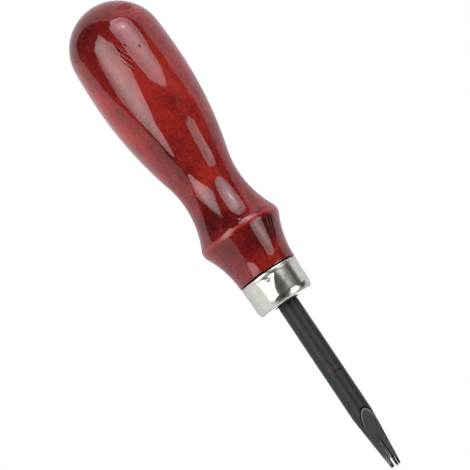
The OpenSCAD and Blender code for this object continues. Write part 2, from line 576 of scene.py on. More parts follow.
@dataclass(frozen=True)
class LacqueredWood:
    """Hardwood stained deep red under gloss lacquer, rubbed pale on the ridge, with painted shade in the
    joint.

    Zones are where the colour is lighter or, below zero, darker. Rates of lines are in radians per metre.
    """

    ridge_x: float
    shoulder_x: float
    pooled: Colour = (0.048, 0.0020, 0.0026)
    stain: Colour = (0.126, 0.0054, 0.0056)
    thin: Colour = (0.245, 0.0138, 0.0085)
    rubbed: Colour = (0.230, 0.0140, 0.0115)
    # Near black of the painted shade in the joint and on the pits, turning line and chatter
    painted_shade: Colour = (0.004, 0.0015, 0.0012)
    scratch: Colour = (0.120, 0.0420, 0.0360)
    # Colour of the painted glints beside the chatter's dark lines
    painted_glint: Colour = (0.300, 0.1500, 0.1350)
    gloss: float = 0.05
    rubbed_gloss: float = 0.22
    index: float = 1.5
    base_shade: float = 0.06
    pool_size: float = 5 * MM
    pool_shade: float = 0.36
    fibre: Point = mm(3.2, 0.55)
    fibre_shade: float = 0.22
    fleck_size: float = 0.7 * MM
    fleck_shade: float = 0.38
    wave: Point = mm(10, 1.8)
    wave_height: float = 0.040 * MM
    grain: Point = mm(1.8, 0.5)
    grain_height: float = 0.004 * MM
    pit_depth: float = 0.05 * MM
    ripple_height: float = 0.0025 * MM
    ripple_rate: Rate = (9973.0, 0.0, 0.0)
    chatter_rate: Rate = (-2250.0, 5630.0, 0.0)
    chatter_wander: float = 2.6
    chatter_bend: float = 1.1 * MM
    painted_glint_lag: float = 1.5
    scratch_rate: Rate = (3100.0, 8267.0, 0.0)
    scratch_start: float = 2.07
    rub_back: float = 0.10 * MM
    rub_wander: float = 0.40 * MM
    rub_bend: float = 1.6 * MM
    rub_edge: Point = mm(0.95, 0.45)
    joint_edge: Point = mm(-0.40, -0.28)
    zones: tuple[Patch, ...] = (
        Patch(mm(-66, 0, 0), mm(22, 20, 20), 0.10),
        Patch(mm(-64, 0, 12.8), mm(8, 2.6, 6), 0.33),
        Patch(mm(-62, 7.6, 10), mm(11, 2, 5), 0.25),
        Patch(mm(-52, 2, 11.3), mm(6, 3, 6), 0.12),
        Patch(mm(-37.2, 0.4, 8.5), mm(2.8, 2.6, 4), 0.33),
        Patch(mm(-62.5, -10, 7.5), mm(11, 3, 5), 0.20),
        Patch(mm(-11.8, 0.8, 8.2), mm(2.8, 3.4, 4), 0.25),
        Patch(mm(-34.3, -2, 8.3), mm(2.4, 1.8, 4), 0.25),
        Patch(mm(-63.5, 4.6, 11.8), mm(3.5, 1.6, 4), 0.30),
        Patch(mm(-84, -5, 9.5), mm(4.5, 6, 6), -0.24),
        Patch(mm(-59, 2.6, 12.1), mm(4.5, 2, 5), -0.08),
        Patch(mm(-48, -4.5, 9.6), mm(9, 0.9, 5), -0.30),
        Patch(mm(-26, -4.6, 8.3), mm(4, 3.6, 5), -0.33),
        Patch(mm(-24.6, 0.4, 9.8), mm(2.6, 2.4, 4), -0.22),
        Patch(mm(-16.8, 0.3, 9.3), mm(3.6, 5.2, 5), -0.22),
        Patch(mm(-18.2, 7.4, 6.8), mm(3.6, 2, 4), -0.45),
        Patch(mm(-30.5, -2, 8.2), mm(3.5, 2, 4), -0.30),
        Patch(mm(-28.5, 2.6, 8.2), mm(3, 1.4, 4), -0.20),
    )
    pits: tuple[Patch, ...] = (
        Patch(mm(-73.3, 5, 11.8), mm(0.48, 0.30, 0.6), 0.75, 0.5, 0.3),
        Patch(mm(-75.4, 1.8, 12.6), mm(0.34, 0.26, 0.6), 0.65, 0.5, 0.3),
        Patch(mm(-58, -9.6, 6.8), mm(0.40, 0.30, 0.6), 0.6, 0.5, 0.3),
        Patch(mm(-45, 3, -9.8), mm(0.60, 0.30, 0.6), 0.8, 0.5, 0.3),
        Patch(mm(-66, 10, -8), mm(0.50, 0.36, 0.6), 0.8, 0.5, 0.3),
    )
    turning_line: Patch = Patch(mm(-25.5, 2.8, 9), mm(0.13, 1.5, 2.5), 0.5, 0.5, 0.3)
    ripples: Patch = Patch(mm(-28, 0, 8.6), mm(4.5, 9, 5), 1.0, 0.3, 0.2)
    chatter: Patch = Patch(mm(-72.5, 0.1, 12.8), mm(3.4, 1.1, 3), 0.85, 0.3, 0.8)
    scratched: Patch = Patch(mm(-18.5, 7.5, 6.2), mm(2.3, 0.95, 2.5), 0.8, 0.3, 0.6)

    def colour(self, coat: Coat) -> Socket:
        """Colour of the stain, pooled and thin in places.

        Args:
            coat: The material in the making.

        Returns:
            The colour without the rubbed ridge and the painted shade.
        """
        pools = coat.blotches(self.pool_size, detail=4.0)
        fibres = coat.streaks(self.fibre, detail=4.0)
        flecks = coat.blotches(self.fleck_size, detail=3.0)
        shade = coat.maths("MULTIPLY_ADD", pools, self.pool_shade, self.base_shade)
        shade = coat.maths("MULTIPLY_ADD", fibres, self.fibre_shade, shade)
        shade = coat.maths("MULTIPLY_ADD", flecks, self.fleck_shade, shade)
        for zone in self.zones:
            shade = coat.maths("MULTIPLY_ADD", coat.patch(zone), zone.strength, shade)
        return coat.ramp(shade, ((0.10, self.pooled), (0.5, self.stain), (0.92, self.thin)))

    def height(self, coat: Coat) -> Socket:
        """Height of the lacquer: long waves, fine grain, pits and turning ripples.

        Args:
            coat: The material in the making.

        Returns:
            The height in millimetres.
        """
        waves = coat.streaks(self.wave, detail=1.0, low=0.0, high=1.0)
        grain = coat.streaks(self.grain, detail=2.0, low=0.0, high=1.0)
        height = coat.maths("MULTIPLY", waves, self.wave_height / MM)
        height = coat.maths("MULTIPLY_ADD", grain, self.grain_height / MM, height)
        for pit in self.pits:
            height = coat.maths("MULTIPLY_ADD", coat.mark(pit), -self.pit_depth / MM, height)
        rings = coat.maths("SINE", coat.part(self.ripple_rate))
        rings = coat.both(rings, coat.mark(self.ripples))
        return coat.maths("MULTIPLY_ADD", rings, self.ripple_height / MM, height)

    def chatter_lines(self, coat: Coat, lag: float) -> Socket:
        """Wavy lines of the chatter.

        Args:
            coat: The material in the making.
            lag: How far the lines lie behind the first set, as an angle.

        Returns:
            The lines, from -1 to 1.
        """
        wander = coat.blotches(self.chatter_bend, detail=1.0, low=0.2, high=0.8)
        phase = coat.maths("MULTIPLY_ADD", wander, self.chatter_wander, coat.part(self.chatter_rate))
        return coat.maths("SINE", coat.maths("SUBTRACT", phase, lag))

    def marks(self, coat: Coat) -> Socket:
        """Mask of the painted shade on the marks: pits, a turning line and the chatter's scratches.

        Args:
            coat: The material in the making.

        Returns:
            The mask.
        """
        lines = coat.span(self.chatter_lines(coat, 0.0), 0.5, 0.9)
        chatter = coat.both(lines, coat.mark(self.chatter))
        return coat.either(chatter, *(coat.mark(mark) for mark in (*self.pits, self.turning_line)))

    def material(self, effects: Effects) -> bpy.types.Material:
        """Build the finish.

        Args:
            effects: The shared effects.

        Returns:
            The material.
        """
        coat = Coat("lacquered_wood", effects)
        along = coat.part((1.0, 0.0, 0.0))
        wander = coat.blotches(self.rub_bend, detail=3.0, low=0.2, high=0.8)
        off = coat.maths("ABSOLUTE", coat.maths("SUBTRACT", along, self.ridge_x - self.rub_back))
        rub = coat.span(coat.maths("MULTIPLY_ADD", wander, self.rub_wander, off), *self.rub_edge)
        joint = coat.span(along, *moved(self.joint_edge, self.shoulder_x))
        colour = coat.blend(rub, self.colour(coat), self.rubbed)

        lines = coat.maths("SINE", coat.maths("ADD", coat.part(self.scratch_rate), self.scratch_start))
        lines = coat.both(coat.span(lines, 0.45, 0.95), coat.mark(self.scratched))
        colour = coat.blend(lines, colour, self.scratch)
        # Painted glints: pale lines just behind the chatter's dark lines, standing in for light on the
        # scratches' edges
        painted_glint = coat.span(self.chatter_lines(coat, self.painted_glint_lag), 0.75, 0.97)
        colour = coat.blend(coat.both(painted_glint, coat.mark(self.chatter)), colour, self.painted_glint)
        # Painted shade: the joint and the marks go near black and metallic, so no reflection shows on them
        black = coat.either(joint, self.marks(coat))
        colour = coat.blend(black, colour, self.painted_shade)

        rough = coat.span(coat.either(rub, joint), 0.0, 1.0, self.gloss, self.rubbed_gloss)
        bump = coat.add("ShaderNodeBump", {"Height": self.height(coat), "Distance": MM})
        return coat.finish({
            "Base Color": colour, "Roughness": rough, "Metallic": black, "IOR": self.index,
            "Normal": bump.outputs["Normal"],
        })


@dataclass(frozen=True)
class NickelPlate:
    """Bright nickel plate with fine handling marks, a punch mark and a nick, both with painted shade, and a
    little tarnish at the end.
    """

    tint: Colour = (0.655, 0.628, 0.568)
    brown: Colour = (0.240, 0.135, 0.080)
    hazed: float = 0.92
    # Share of the tint left in the painted shade of the punch ring and the nick
    shaded: float = 0.012
    gloss: float = 0.10
    haze_size: float = 1.2 * MM
    haze_rough: float = 0.10
    scuff_size: float = 0.35 * MM
    scuff_depth: float = 0.004 * MM
    worn_end: Point = mm(-1.9, -0.9)
    worn_rough: float = 0.16
    rolled_rim: Point = mm(-7.5, -8.1)
    rolled_rough: float = 0.12
    tarnish: tuple[Patch, ...] = (
        Patch(mm(-1.55, 0.10, 7.7), mm(0.52, 0.80, 2), 0.75, 0.6, 0.6),
        Patch(mm(-1.40, -1.70, 7.4), mm(0.30, 1.60, 2), 0.40, 0.6, 0.6),
        Patch(mm(-1.15, 5.40, 5.5), mm(0.60, 0.55, 1.2), 0.45, 0.6, 0.5),
        Patch(mm(-1.50, 5.55, 5.0), mm(0.40, 0.35, 1), 0.80, 0.5, 0.5),
    )
    stake: Patch = Patch(mm(-6.94, -0.98, 7.6), mm(0.66, 0.62, 2), 0.95, 0.3, 0.3)
    stake_heart: Patch = Patch(mm(-7.08, -1.06, 7.6), mm(0.34, 0.34, 2), 1.0, 0.4, 0.2)
    nick: Patch = Patch(mm(-7.62, -1.52, 7.6), mm(0.30, 0.40, 2), 0.9, 0.4, 0.3)

    def material(self, effects: Effects) -> bpy.types.Material:
        """Build the finish.

        Args:
            effects: The shared effects.

        Returns:
            The material.
        """
        coat = Coat("nickel_plate", effects)
        along = coat.part((1.0, 0.0, 0.0))
        haze = coat.blotches(self.haze_size, detail=4.0)
        scuffs = coat.blotches(self.scuff_size, detail=2.0, low=0.0, high=1.0)
        rolled = coat.span(along, *self.rolled_rim)
        rough = coat.span(haze, 0.0, 1.0, self.gloss, self.gloss + self.haze_rough)
        rough = coat.maths("ADD", rough, coat.span(along, *self.worn_end, 0.0, self.worn_rough))
        rough = coat.maths("MULTIPLY_ADD", rolled, self.rolled_rough, rough)

        dull = dimmed(self.tint, self.hazed)
        colour = coat.blend(rolled, coat.blend(haze, self.tint, dull), dull)
        for stain in self.tarnish:
            colour = coat.blend(coat.mark(stain), colour, self.brown)
        # Painted shade in the punch mark's ring and at the nick beside it
        ring = coat.both(coat.mark(self.stake), coat.without(coat.mark(self.stake_heart)))
        colour = coat.blend(coat.either(ring, coat.mark(self.nick)), colour, dimmed(self.tint, self.shaded))

        bump = coat.add("ShaderNodeBump", {"Height": scuffs, "Distance": self.scuff_depth})
        return coat.finish({
            "Base Color": colour, "Roughness": rough, "Metallic": 1.0, "Normal": bump.outputs["Normal"],
        })


@dataclass(frozen=True)
class BladeSpot:
    """A place on the blade as sockets: along it, across its flat and up from its axis."""

    along: Socket
    across: Socket
    up: Socket


@dataclass(frozen=True)
class BlackSteel:
    """Satin black oxide, brownish on the ground flat and polished at the tines.

    Pairs of sizes say where a mask starts and where it is full, and bands also where it fades and ends.
    On the fork, reaches are counted from its root, depths from its upper face, and the sides of floor, wall
    and lip from the gap's side. Other sides are counted from the blade's middle.
    """

    blade: "Blade"
    oxide: Colour = (0.008, 0.008, 0.0078)
    faded: Colour = (0.014, 0.0138, 0.0132)
    pale: Colour = (0.030, 0.0285, 0.0270)
    ground: Colour = (0.0165, 0.0128, 0.0106)
    # Light painted on the groove's floor, standing in for light in the deep groove
    painted_floor_light: Colour = (0.620, 0.615, 0.610)
    # A burr inside the flat's edge, painted pale as its highlight
    burr_highlight: Colour = (0.110, 0.105, 0.100)
    worn: Colour = (0.160, 0.158, 0.155)
    # Near black of the painted shade on the blade and of the chips
    shade_and_chip_black: Colour = (0.004, 0.004, 0.004)
    bright: Colour = (0.80, 0.79, 0.77)
    rust: Colour = (0.034, 0.013, 0.011)
    gloss: float = 0.46
    gloss_spread: float = 0.04
    index: float = 1.42
    drawn_line: Point = mm(9, 0.30)
    cloud_size: float = 2.4 * MM
    cloud_shade: float = 0.6
    # Reach of the painted shade cast by the ferrule on the blade
    painted_ferrule_shade: Point = mm(2.2, 0.4)
    paling: Point = mm(37, 43)
    flat_start: Point = mm(-0.8, -0.6)
    flat_edge: Point = mm(-0.03, -0.01)
    flat_fade: Point = mm(1.5, -1.0)
    rim_edge: Point = mm(-0.34, -0.08)
    rim_fade: Point = mm(37, 35)
    burr_edge: Point = mm(0.24, 0.10)
    burr_fade: Point = mm(38.5, 34.5)
    faint_reach: Point = mm(-5.8, -4.8)
    faint_share: float = 0.15
    clear_reach: Point = mm(-3.2, 0)
    floor_side: Point = mm(0.03, 0.01)
    floor_depth: Point = mm(0.30, 0.55)
    groove_start: Point = mm(0.5, 3)
    wall_reach: Point = mm(-5, -1)
    wall_side: Band = mm(-0.20, -0.08, 0.08, 0.16)
    wall_depth: Point = mm(0.62, 0.46)
    lip_reach: Point = mm(-0.6, 0)
    lip_side: Band = mm(-0.20, -0.08, 0.22, 0.30)
    lip_depth: Point = mm(1.30, 1.10)
    strip_reach: Point = mm(0, 0.6)
    strip_side: Band = mm(0.62, 0.70, 0.84, 0.92)
    strip_shine: float = 0.8
    edge_reach: Point = mm(0.4, 1.0)
    edge_side: Band = mm(0.80, 0.90, 1.22, 1.30)
    rubbed_reach: Point = mm(-1.5, 1.2)
    rubbed_side: Point = mm(-0.85, -1.10)
    tip_edge: Point = mm(-0.75, -0.35)
    notch: Patch = Patch(mm(48.35, -1, 0.1), mm(0.75, 0.22, 1), 1.0, 0.4, 0.3)
    scuffs: tuple[Patch, ...] = (
        Patch(mm(20.5, -0.75, 2.7), mm(0.65, 0.50, 1), 0.75),
        Patch(mm(20.7, 0.15, 2.8), mm(0.75, 0.45, 1), 0.85),
        Patch(mm(32.9, -1.20, 2.5), mm(1.3, 0.80, 1), 0.45),
    )
    chips: tuple[Patch, ...] = (
        Patch(mm(20.9, 0.25, 2.75), mm(0.38, 0.24, 1), 0.8, 0.4, 0.7),
        Patch(mm(21.1, 1.25, 2.50), mm(0.17, 0.62, 1), 0.8, 0.4, 0.7),
    )

    def skin(self, coat: Coat, spot: BladeSpot) -> Socket:
        """Colour of the oxide: cloudy, with painted shade by the ferrule, pale by the tip and rusty in
        places.

        Args:
            coat: The material in the making.
            spot: Place on the blade.

        Returns:
            The colour.
        """
        clouds = coat.blotches(self.cloud_size, detail=4.0, low=0.35, high=0.75)
        colour = coat.blend(coat.both(clouds, self.cloud_shade), self.oxide, self.faded)
        # Painted shade where the ferrule shades the blade
        colour = coat.blend(coat.span(spot.along, *self.painted_ferrule_shade), colour, self.shade_and_chip_black)
        colour = coat.blend(coat.span(spot.along, *self.paling), colour, self.pale)
        for scuff in self.scuffs:
            colour = coat.blend(coat.mark(scuff), colour, self.rust)
        return colour

    def flat(self, coat: Coat, spot: BladeSpot, colour: Socket) -> tuple[Socket, Socket]:
        """Grind the flat, with a rubbed burr inside its edge, painted light as its highlight, and painted
        shade on a rim outside.

        Args:
            coat: The material in the making.
            spot: Place on the blade.
            colour: Colour so far.

        Returns:
            The colour with the flat on it, and the mask of the painted shade on the rim.
        """
        blade, along = self.blade, spot.along
        slope = math.tan(blade.flat_slope)
        plane = coat.maths("MULTIPLY_ADD", along, -slope, blade.shank_r + blade.flat_x * slope)
        over = coat.maths("SUBTRACT", spot.up, plane)
        started = coat.span(along, *moved(self.flat_start, blade.flat_x))
        flat = coat.both(coat.span(over, *self.flat_edge), started)
        # Painted shade on a rim just outside the flat's edge
        rim = coat.both(coat.span(over, *self.rim_edge), started, coat.without(flat))
        rim = coat.both(rim, coat.span(along, *self.rim_fade))

        squares = coat.maths("ADD", coat.both(spot.across, spot.across), coat.both(spot.up, spot.up))
        tapered = coat.maths("MAXIMUM", 0.0, coat.maths("SUBTRACT", along, blade.taper_x))
        taper = (blade.shank_r - blade.tip_r) / blade.taper_length
        reach = coat.maths("MULTIPLY_ADD", tapered, taper, coat.maths("SQRT", squares))
        inset = coat.maths("SUBTRACT", blade.shank_r, reach)
        # Painted highlight on the burr inside the flat's edge
        burr_highlight = coat.both(flat, coat.span(inset, *self.burr_edge), coat.span(along, *self.burr_fade))
        tone = coat.both(flat, coat.span(along, *moved(self.flat_fade, blade.flat_end_x)))
        return coat.blend(burr_highlight, coat.blend(tone, colour, self.ground), self.burr_highlight), rim

    def fork(self, coat: Coat, spot: BladeSpot, colour: Socket) -> tuple[Socket, Socket, Socket, Socket]:
        """Paint light on the fork's groove floor and shade in its groove, and rub the fork at its side and
        along its tines.

        Args:
            coat: The material in the making.
            spot: Place on the blade.
            colour: Colour so far.

        Returns:
            The colour with the rubbed side and the groove floor's painted light on it, and the masks of the
            shining strip, the painted shade on the groove's wall, the gap's lips, the tines' outer edges
            and a notch, and the tines' bright ends.
        """
        blade, along, across = self.blade, spot.along, spot.across
        past = coat.maths("SUBTRACT", along, blade.root_x)
        beside = coat.maths("SUBTRACT", across, blade.fork_gap / 2)
        outside = coat.maths("SUBTRACT", coat.maths("ABSOLUTE", across), blade.fork_gap / 2)
        fall = math.tan(blade.fork_slope)
        face = coat.maths("MULTIPLY_ADD", along, -fall, blade.fork_top + blade.flat_end_x * fall)
        below = coat.maths("SUBTRACT", face, spot.up)

        # Painted light on the groove's floor, strongest towards the fork's root
        trough = coat.span(past, *self.faint_reach, 0.0, self.faint_share)
        trough = coat.maths("ADD", trough, coat.span(past, *self.clear_reach, 0.0, 1 - self.faint_share))
        inside = coat.span(outside, *self.floor_side)
        floor = coat.both(trough, inside, coat.span(below, *self.floor_depth))
        # Painted shade on the groove's wall, the gap's lips, the tines' outer edges and a notch
        wall = coat.both(coat.band(beside, *self.wall_side), coat.span(below, *self.wall_depth))
        grooved = coat.span(along, *moved(self.groove_start, blade.groove_x))
        wall = coat.both(grooved, wall, coat.span(past, *self.wall_reach))
        lip = coat.both(coat.span(past, *self.lip_reach), coat.band(beside, *self.lip_side))
        lip = coat.both(lip, coat.span(below, *self.lip_depth))
        strip = coat.both(coat.span(past, *self.strip_reach), coat.band(across, *self.strip_side))
        edge = coat.both(coat.span(past, *self.edge_reach), coat.band(across, *self.edge_side))
        rubbed = coat.both(coat.span(past, *self.rubbed_reach), coat.span(across, *self.rubbed_side))
        end = coat.span(along, *moved(self.tip_edge, blade.tip_x))
        colour = coat.blend(floor, coat.blend(rubbed, colour, self.worn), self.painted_floor_light)
        dark = coat.either(wall, lip, edge, coat.mark(self.notch))
        return colour, coat.both(strip, self.strip_shine), dark, end

    def material(self, effects: Effects) -> bpy.types.Material:
        """Build the finish.

        Args:
            effects: The shared effects.

        Returns:
            The material.
        """
        coat = Coat("black_steel", effects)
        cos, sin = math.cos(self.blade.turn), math.sin(self.blade.turn)
        axes = ((1.0, 0.0, 0.0), (0.0, cos, sin), (0.0, -sin, cos))
        spot = BladeSpot(*(coat.part(axis) for axis in axes))
        colour, rim = self.flat(coat, spot, self.skin(coat, spot))
        colour, strip, dark, end = self.fork(coat, spot, colour)
        shine = coat.either(strip, end)
        # Painted shade and the chips go near black and metallic, with no sheen
        black = coat.either(dark, rim, *(coat.mark(chip) for chip in self.chips))
        black = coat.both(black, coat.without(end))
        colour = coat.blend(black, coat.blend(shine, colour, self.bright), self.shade_and_chip_black)
        lines = coat.streaks(self.drawn_line, detail=3.0)
        gloss = (self.gloss - self.gloss_spread, self.gloss + self.gloss_spread)
        return coat.finish({
            "Base Color": colour, "Roughness": coat.span(lines, 0.0, 1.0, *gloss),
            "Metallic": coat.either(shine, black), "IOR": self.index,
        })


# Pieces


@dataclass
class Handle:
    """Turned hardwood handle with its tenon and the drilled hole for the tang."""

    butt_x: float
    tenon_end_x: float
    belly_r: float
    belly_at: float = 21.8 * MM
    belly_rear_r: float = 150.0 * MM
    waist_r: float = 8.2 * MM
    waist_at: float = 56.2 * MM
    waist_hollow_r: float = 25.0 * MM
    ridge_r: float = 11.2 * MM
    ridge_at: float = 69.2 * MM
    crest_rear_r: float = 3.2 * MM
    crest_front_r: float = 2.8 * MM
    neck_r: float = 8.08 * MM
    neck_at: float = 82.2 * MM
    shoulder_at: float = 81.92 * MM
    shoulder_length: float = 0.85 * MM
    shoulder_drop: float = 0.45 * MM
    tenon_r: float = 7.28 * MM
    tenon_chamfer: float = 0.67 * MM
    hole_r: float = 2.42 * MM
    hole_depth: float = 42.5 * MM
    unevenness: float = 0.006 * MM
    swells: tuple[tuple[int, float, float], ...] = (
        (5, 7.0 * MM, 0.0), (9, -11.0 * MM, 1.3), (3, 4.1 * MM, 0.6),
    )
    around: int = 224

    @classmethod
    def from_frame(cls) -> "Handle":
        """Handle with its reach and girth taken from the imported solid."""
        low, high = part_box(Node.HANDLE.value)
        return cls(butt_x=low.x, tenon_end_x=high.x, belly_r=high.y)

    def outline(self) -> list[Point]:
        """Outline from the butt over the tenon to the bottom of the hole.

        Returns:
            Places along the axis and radii.
        """
        belly = (self.butt_x + self.belly_at, self.belly_r)
        waist = (self.butt_x + self.waist_at, self.waist_r)
        ridge = (self.butt_x + self.ridge_at, self.ridge_r)
        shoulder_x = self.butt_x + self.shoulder_at
        neck = (self.butt_x + self.neck_at, self.neck_r)
        hollow = ogee_sum(ridge, neck) - self.crest_front_r
        brow_x = shoulder_x - self.shoulder_length
        brow = (brow_x, self.neck_r + hollow - math.sqrt(hollow ** 2 - (neck[0] - brow_x) ** 2))
        belly_arc = ogee_sum(belly, waist) - self.waist_hollow_r
        rear = self.belly_rear_r
        butt_r = 2 * self.belly_r * rear - self.belly_at ** 2 - self.belly_r ** 2
        butt_r /= 2 * (rear - self.belly_at)
        meet = math.pi - math.acos((self.belly_at - butt_r) / (rear - butt_r))
        line = arc((self.butt_x + butt_r, 0.0), butt_r, math.pi, meet, 40)
        line += arc((belly[0], belly[1] - rear), rear, meet, math.pi / 2, 14)[1:]
        line += ogee(belly, waist, belly_arc, 36)
        line += ogee(waist, ridge, ogee_sum(waist, ridge) - self.crest_rear_r, 28)
        line += [spot for spot in ogee(ridge, neck, self.crest_front_r, 32) if spot[0] < brow_x]
        line.append(brow)
        line += eased((shoulder_x, brow[1]), self.shoulder_length, self.shoulder_drop, 9)
        line += divided(line[-1], (shoulder_x, self.tenon_r), 2)
        line += divided(line[-1], (self.tenon_end_x - self.tenon_chamfer, self.tenon_r), 8)
        line += divided(line[-1], (self.tenon_end_x, self.tenon_r - self.tenon_chamfer), 2)
        line += divided(line[-1], (self.tenon_end_x, self.hole_r), 5)
        line += divided(line[-1], (self.tenon_end_x - self.hole_depth, self.hole_r), 12)
        line += divided(line[-1], (self.tenon_end_x - self.hole_depth, 0.0), 2)
        return line

    def waves(self, along: np.ndarray, radius: np.ndarray, turn: np.ndarray) -> np.ndarray:
        """Slight unevenness that sanding by hand left in the outside, a little under the turned size.

        Args:
            along: Places along the axis.
            radius: Turned radii.
            turn: Angles about the axis.

        Returns:
            Heights over the turned surface.
        """
        swell = sum(np.sin(lobes * turn + along / pitch + start) for lobes, pitch, start in self.swells)
        brow_x = self.butt_x + self.shoulder_at - self.shoulder_length
        outside = (radius > 1.5 * self.hole_r) & (along < brow_x)
        return np.where(outside, self.unevenness * (swell / len(self.swells) - 2), 0.0)

    def build(self) -> bpy.types.Object:
        """Turn the handle."""
        angles = gathered(self.around, 0.0, 0.0)
        return turned("handle_turned", self.outline(), angles, self.waves, False)

    def dress(self, effects: Effects) -> None:
        """Build the handle and give it its lacquer."""
        finish = LacqueredWood(self.butt_x + self.ridge_at, self.butt_x + self.shoulder_at)
        place(self.build(), Node.HANDLE, finish.material(effects))


@dataclass
class Ferrule:
    """Drawn cup with a rolled rim and a hole in its end, pressed flat and staked by one punch mark."""

    rim_x: float
    outer_r: float
    rim_back: float = 0.12 * MM
    end_x: float = -0.15 * MM
    wall: float = 0.6 * MM
    end_wall: float = 0.7 * MM
    rim_r: float = 0.25 * MM
    swell: float = 0.04 * MM
    bead: float = 0.06 * MM
    bead_end: float = 0.55 * MM
    valley: float = 0.005 * MM
    valley_at: float = 1.25 * MM
    body_at: float = 2.2 * MM
    lean: float = 0.016
    edge_length: float = 2.2 * MM
    edge_drop: float = 1.3 * MM
    dish: float = 0.2 * MM
    corner_r: float = 0.65 * MM
    hole_r: float = 3.8 * MM
    punch_r: float = 0.46 * MM
    punch_depth: float = 0.26 * MM
    punch_from_rim: float = 1.88 * MM
    punch_angle: float = math.radians(8.0)
    punch_lip: float = 0.03 * MM
    punch_lip_at: float = 1.15
    punch_lip_width: float = 0.25
    press_depth: float = 0.43 * MM
    press_angle: float = math.radians(9.5)
    press_start: float = 0.70 * MM
    press_end: float = 7.2 * MM
    press_fade: float = 3.15
    press_soft: float = 0.02 * MM
    around: int = 320

    @classmethod
    def from_frame(cls) -> "Ferrule":
        """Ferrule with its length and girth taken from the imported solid."""
        low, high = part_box(Node.FERRULE.value)
        return cls(rim_x=low.x + cls.rim_back, outer_r=high.y)

    def side(self, x: float) -> float:
        """Radius of the outside between the rolled rim and the rounded end.

        Args:
            x: Place along the axis.

        Returns:
            The radius.
        """
        from_rim = x - self.rim_x
        body = self.outer_r + self.swell - self.lean * max(0.0, from_rim - self.valley_at)
        fall = smooth(from_rim, self.bead_end, self.valley_at)
        rise = smooth(from_rim, self.valley_at, self.body_at)
        return float(body + self.bead * (1 - fall) - self.valley * fall * (1 - rise))

    def outline(self) -> list[Point]:
        """Loop round the wall, from the open rim over the outside to the hole and back inside.

        Returns:
            Places along the axis and radii.
        """
        bore = self.outer_r - self.wall
        rim = (self.rim_x + self.rim_r, self.side(self.rim_x) - self.rim_r)
        line = arc(rim, self.rim_r, math.pi, math.pi / 2, 6)
        line += [(x, self.side(x)) for x in np.linspace(rim[0], self.end_x - self.edge_length, 84)[1:]]
        line += eased((self.end_x, line[-1][1]), self.edge_length, self.edge_drop, 24)
        line += divided(line[-1], (self.end_x - self.dish, self.hole_r), 5)
        line += divided(line[-1], (-self.end_wall, self.hole_r), 2)
        corner = self.corner_r
        line += arc((-self.end_wall - corner, bore - corner), corner, 0.0, math.pi / 2, 6)
        line += divided(line[-1], (self.rim_x, bore), 10)
        return line

    def marks(self, along: np.ndarray, radius: np.ndarray, turn: np.ndarray) -> np.ndarray:
        """Height of the pressed flat, the punch mark and its raised lip over the outside.

        Args:
            along: Places along the axis.
            radius: Turned radii.
            turn: Angles about the axis.

        Returns:
            Heights over the turned surface.
        """
        from_rim = along - self.rim_x
        off = turn - self.press_angle
        fade = np.clip((self.press_end - from_rim) / (self.press_end - self.valley_at), 0, 1)
        step = smooth(from_rim, self.press_start, self.valley_at)
        depth = self.press_depth * np.where(from_rim < self.valley_at, step, fade ** self.press_fade)
        over = radius - (radius - depth) / np.maximum(np.cos(off), 0.2)
        press = -self.press_soft * np.logaddexp(0.0, np.clip(over / self.press_soft, -60, 60))
        press = np.where((depth > 0) & (np.cos(off) > 0.5), press, 0.0)
        off = turn - self.punch_angle
        away = np.hypot(from_rim - self.punch_from_rim, self.outer_r * np.sin(off))
        away = np.where(np.cos(off) > 0, away, 1.0) / self.punch_r
        dent = -self.punch_depth * np.clip(1 - away ** 4, 0, 1)
        lip = self.punch_lip * np.exp(-((away - self.punch_lip_at) / self.punch_lip_width) ** 2)
        outside = (radius > self.outer_r - 0.5 * self.wall) & (along < self.end_x - self.edge_length)
        return np.where(outside, press + dent + lip, 0.0)

    def build(self) -> bpy.types.Object:
        """Turn the ferrule with its marks."""
        angles = gathered(self.around, self.punch_angle, 0.7)
        return turned("ferrule_cup", self.outline(), angles, self.marks, True)

    def dress(self, effects: Effects) -> None:
        """Build the ferrule and give it its plate."""
        place(self.build(), Node.FERRULE, NickelPlate().material(effects))


